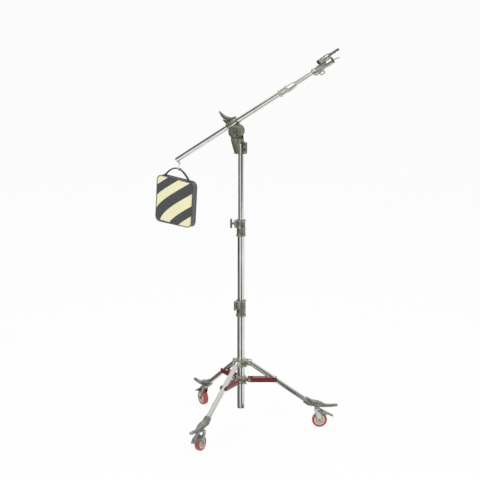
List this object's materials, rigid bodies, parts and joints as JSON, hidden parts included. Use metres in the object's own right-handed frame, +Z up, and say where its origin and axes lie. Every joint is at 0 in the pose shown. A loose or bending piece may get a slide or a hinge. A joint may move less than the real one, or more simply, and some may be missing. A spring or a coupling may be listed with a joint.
{
  "type": "wheeled boom stand",
  "caption": "Telescoping chrome column on a folding castered tripod base, with a tilting and sliding boom arm and a striped sandbag hung on its rear end as a counterweight.",
  "frame": {"origin": "centre of the whole stand's bounding box in plan, on the floor under the wheels", "axes": "+Z up along the column, +X along the right-hand leg, -Y towards the camera of the picture"},
  "size_m": [0.9054, 0.8424, 1.9299],
  "materials": {
    "chrome_tube": "polished",
    "casting": "satin",
    "handle_metal": "satin",
    "red_paint": "satin",
    "bolt_steel": "satin",
    "fork_steel": "satin",
    "pedal_steel": "satin",
    "red_tyre": "satin",
    "cream_plastic": "satin",
    "black_rubber": "matte",
    "bag_cloth": "matte",
    "strap_cloth": "matte"
  },
  "bodies": {
    "base": {"column_tube_lower": "chrome_tube", "lower_hub": "casting", "collar_lower": "casting", "brace_pin_right": "bolt_steel", "brace_pin_back": "bolt_steel", "brace_pin_front": "bolt_steel"},
    "hub": {"upper_hub": "casting", "leg_pin_right": "bolt_steel", "leg_pin_back": "bolt_steel", "leg_pin_front": "bolt_steel"},
    "leg_right": {"leg_tube_right": "chrome_tube", "foot_casting_right": "casting"},
    "strut_right": {"brace_right": "red_paint"},
    "caster_right": {"caster_fork_right": "fork_steel", "caster_axle_right": "bolt_steel"},
    "wheel_right": {"caster_tyre_right": "red_tyre", "caster_core_right": "cream_plastic"},
    "pedal_right": {"brake_pedal_right": "pedal_steel"},
    "leg_back": {"leg_tube_back": "chrome_tube", "foot_casting_back": "casting"},
    "strut_back": {"brace_back": "red_paint"},
    "caster_back": {"caster_fork_back": "fork_steel", "caster_axle_back": "bolt_steel"},
    "wheel_back": {"caster_tyre_back": "red_tyre", "caster_core_back": "cream_plastic"},
    "pedal_back": {"brake_pedal_back": "pedal_steel"},
    "leg_front": {"leg_tube_front": "chrome_tube", "foot_casting_front": "casting"},
    "strut_front": {"brace_front": "red_paint"},
    "caster_front": {"caster_fork_front": "fork_steel", "caster_axle_front": "bolt_steel"},
    "wheel_front": {"caster_tyre_front": "red_tyre", "caster_core_front": "cream_plastic"},
    "pedal_front": {"brake_pedal_front": "pedal_steel"},
    "hub_screw_low": {"lower_hub_screw": "handle_metal"},
    "hub_screw_high": {"upper_hub_screw": "handle_metal"},
    "t_handle_low": {"collar_handle_lower": "handle_metal"},
    "t_handle_high": {"collar_handle_upper": "handle_metal"},
    "middle_stage": {"column_tube_middle": "chrome_tube", "collar_upper": "casting"},
    "top_stage": {"column_tube_top": "chrome_tube"},
    "head": {"head_receiver": "casting", "head_bolt_upper": "bolt_steel", "head_bolt_lower": "bolt_steel", "tilt_pin": "bolt_steel"},
    "jaw": {"boom_jaw": "casting", "jaw_cap": "casting"},
    "wing": {"wing_handle": "handle_metal"},
    "boom": {"boom_tube_rear": "chrome_tube"},
    "twist_collar": {"boom_collar": "casting"},
    "boom_front": {"boom_tube_front": "chrome_tube", "tip_clamp": "casting", "tip_spigot": "bolt_steel", "spigot_cap": "black_rubber"},
    "d_handle": {"tip_handle": "handle_metal"},
    "end_pin": {"tip_end_pin": "handle_metal"},
    "hook": {"bag_hook": "bolt_steel"},
    "bag": {"sandbag": "bag_cloth", "sandbag_strap": "strap_cloth"}
  },
  "joints": [
    {"name": "hub_slide", "type": "slide", "parent": "base", "child": "hub", "axis": [0, 0, 1], "range_m": [0, 0.1625]},
    {"name": "leg_right_fold", "type": "hinge", "parent": "hub", "child": "leg_right", "pos_m": [0.012, 0, 0.33699], "axis": [0, 1, 0], "range_deg": [0, 31]},
    {"name": "brace_right_fold", "type": "hinge", "parent": "base", "child": "strut_right", "pos_m": [0.012, 0, 0.24807], "axis": [0, -1, 0], "range_deg": [0, 60.1]},
    {"name": "caster_right_swivel", "type": "hinge", "parent": "leg_right", "child": "caster_right", "pos_m": [0.35005, 0, 0], "axis": [0, 0, 1], "continuous": true},
    {"name": "wheel_right_roll", "type": "hinge", "parent": "caster_right", "child": "wheel_right", "pos_m": [0.36255, 0, 0.0375], "axis": [0, 1, 0], "continuous": true},
    {"name": "pedal_right_press", "type": "hinge", "parent": "caster_right", "child": "pedal_right", "pos_m": [0.35905, 0, 0.0882], "axis": [0, 1, 0], "range_deg": [0, 4]},
    {"name": "leg_back_fold", "type": "hinge", "parent": "hub", "child": "leg_back", "pos_m": [-0.051, 0.03637, 0.33699], "axis": [-0.866, -0.5, 0], "range_deg": [0, 31]},
    {"name": "brace_back_fold", "type": "hinge", "parent": "base", "child": "strut_back", "pos_m": [-0.051, 0.03637, 0.24807], "axis": [0.866, 0.5, 0], "range_deg": [0, 60.1]},
    {"name": "caster_back_swivel", "type": "hinge", "parent": "leg_back", "child": "caster_back", "pos_m": [-0.22003, 0.32914, 0], "axis": [0, 0, 1], "continuous": true},
    {"name": "wheel_back_roll", "type": "hinge", "parent": "caster_back", "child": "wheel_back", "pos_m": [-0.22628, 0.33996, 0.0375], "axis": [-0.866, -0.5, 0], "continuous": true},
    {"name": "pedal_back_press", "type": "hinge", "parent": "caster_back", "child": "pedal_back", "pos_m": [-0.22453, 0.33693, 0.0882], "axis": [-0.866, -0.5, 0], "range_deg": [0, 4]},
    {"name": "leg_front_fold", "type": "hinge", "parent": "hub", "child": "leg_front", "pos_m": [-0.051, -0.03637, 0.33699], "axis": [0.866, -0.5, 0], "range_deg": [0, 31]},
    {"name": "brace_front_fold", "type": "hinge", "parent": "base", "child": "strut_front", "pos_m": [-0.051, -0.03637, 0.24807], "axis": [-0.866, 0.5, 0], "range_deg": [0, 60.1]},
    {"name": "caster_front_swivel", "type": "hinge", "parent": "leg_front", "child": "caster_front", "pos_m": [-0.22003, -0.32914, 0], "axis": [0, 0, 1], "continuous": true},
    {"name": "wheel_front_roll", "type": "hinge", "parent": "caster_front", "child": "wheel_front", "pos_m": [-0.22628, -0.33996, 0.0375], "axis": [0.866, -0.5, 0], "continuous": true},
    {"name": "pedal_front_press", "type": "hinge", "parent": "caster_front", "child": "pedal_front", "pos_m": [-0.22453, -0.33693, 0.0882], "axis": [0.866, -0.5, 0], "range_deg": [0, 4]},
    {"name": "lower_hub_screw_turn", "type": "hinge", "parent": "base", "child": "hub_screw_low", "pos_m": [-0.03, 0, 0.24807], "axis": [0.5, -0.866, 0], "continuous": true},
    {"name": "upper_hub_screw_turn", "type": "hinge", "parent": "hub", "child": "hub_screw_high", "pos_m": [-0.03, 0, 0.33699], "axis": [0.5, -0.866, 0], "continuous": true},
    {"name": "lower_handle_turn", "type": "hinge", "parent": "base", "child": "t_handle_low", "pos_m": [-0.03, 0, 0.6395], "axis": [-0.6018, -0.7986, 0], "continuous": true},
    {"name": "middle_slide", "type": "slide", "parent": "base", "child": "middle_stage", "axis": [0, 0, 1], "range_m": [-0.22, 0.13]},
    {"name": "upper_handle_turn", "type": "hinge", "parent": "middle_stage", "child": "t_handle_high", "pos_m": [-0.03, 0, 1.0465], "axis": [-1, 0, 0], "continuous": true},
    {"name": "top_slide", "type": "slide", "parent": "middle_stage", "child": "top_stage", "axis": [0, 0, 1], "range_m": [-0.22, 0.13]},
    {"name": "head_pan", "type": "hinge", "parent": "top_stage", "child": "head", "pos_m": [-0.03, 0, 0], "axis": [0, 0, 1], "continuous": true},
    {"name": "boom_tilt", "type": "hinge", "parent": "head", "child": "jaw", "pos_m": [-0.05171, 0.0079, 1.502], "axis": [0.342, 0.9397, 0], "range_deg": [-20, 60]},
    {"name": "wing_turn", "type": "hinge", "parent": "jaw", "child": "wing", "pos_m": [-0.08883, 0.02141, 1.55677], "axis": [0.121, -0.0441, 0.9917], "range_deg": [-100, 100]},
    {"name": "boom_slide", "type": "slide", "parent": "jaw", "child": "boom", "axis": [0.7781, -0.2832, 0.5606], "range_m": [-0.2, 0.15]},
    {"name": "collar_twist", "type": "hinge", "parent": "boom", "child": "twist_collar", "pos_m": [-0.07225, 0.01538, 1.53429], "axis": [0.7781, -0.2832, 0.5606], "range_deg": [0, 90]},
    {"name": "boom_extend", "type": "slide", "parent": "boom", "child": "boom_front", "axis": [0.7781, -0.2832, 0.5606], "range_m": [-0.09, 0.33]},
    {"name": "tip_handle_turn", "type": "hinge", "parent": "boom_front", "child": "d_handle", "pos_m": [0.32848, -0.13048, 1.82302], "axis": [-0.5268, 0.1918, 0.8281], "continuous": true},
    {"name": "end_pin_turn", "type": "hinge", "parent": "boom_front", "child": "end_pin", "pos_m": [-0.07068, 0.0148, 1.53181], "axis": [0.7781, -0.2832, 0.5606], "continuous": true},
    {"name": "hook_hang", "type": "hinge", "parent": "boom", "child": "hook", "pos_m": [-0.33174, 0.10982, 1.32499], "axis": [0.342, 0.9397, 0], "range_deg": [-60, 20]},
    {"name": "bag_turn", "type": "hinge", "parent": "hook", "child": "bag", "pos_m": [-0.33174, 0.10982, 1.32499], "axis": [0, 0, 1], "range_deg": [-12, 12]}
  ],
  "couplings": [
    {"joint": "leg_right_fold", "follows": "hub_slide", "rad_per_m": 3.308},
    {"joint": "brace_right_fold", "follows": "hub_slide", "rad_per_m": 6.444},
    {"joint": "leg_back_fold", "follows": "hub_slide", "rad_per_m": 3.308},
    {"joint": "brace_back_fold", "follows": "hub_slide", "rad_per_m": 6.444},
    {"joint": "leg_front_fold", "follows": "hub_slide", "rad_per_m": 3.308},
    {"joint": "brace_front_fold", "follows": "hub_slide", "rad_per_m": 6.444},
    {"joint": "hook_hang", "follows": "boom_tilt", "ratio": -1}
  ]
}
